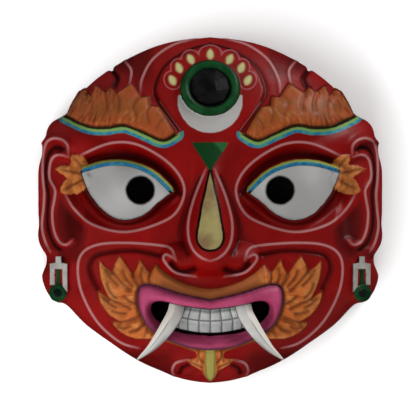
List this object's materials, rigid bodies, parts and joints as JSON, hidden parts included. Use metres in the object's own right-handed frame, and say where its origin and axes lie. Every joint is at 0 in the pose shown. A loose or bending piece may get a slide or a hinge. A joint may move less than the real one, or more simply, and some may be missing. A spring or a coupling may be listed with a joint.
{
  "type": "lakhey mask",
  "caption": "Round festival demon mask in relief, hollow behind, with flame brows, bulging eyes, curved tusks, ear drops and a dark disc in a ring on the forehead; lies on its flat rim.",
  "frame": {"origin": "on the ground plane under the middle of the mask's outline", "axes": "+Z out of the face, +Y from the chin to the crown, +X to the right as the face is looked at"},
  "size_m": [0.348, 0.3498, 0.146],
  "materials": {
    "painted_papier_mache": "semi-gloss enamel, mostly red, over moulded papier-mache",
    "dark_glass": "polished, nearly black, opaque backing",
    "white_tusk": "carved wood, white enamel"
  },
  "bodies": {
    "root": {"mask_shell": "painted_papier_mache", "forehead_disc": "dark_glass", "left_tusk": "white_tusk", "right_tusk": "white_tusk"}
  },
  "joints": []
}
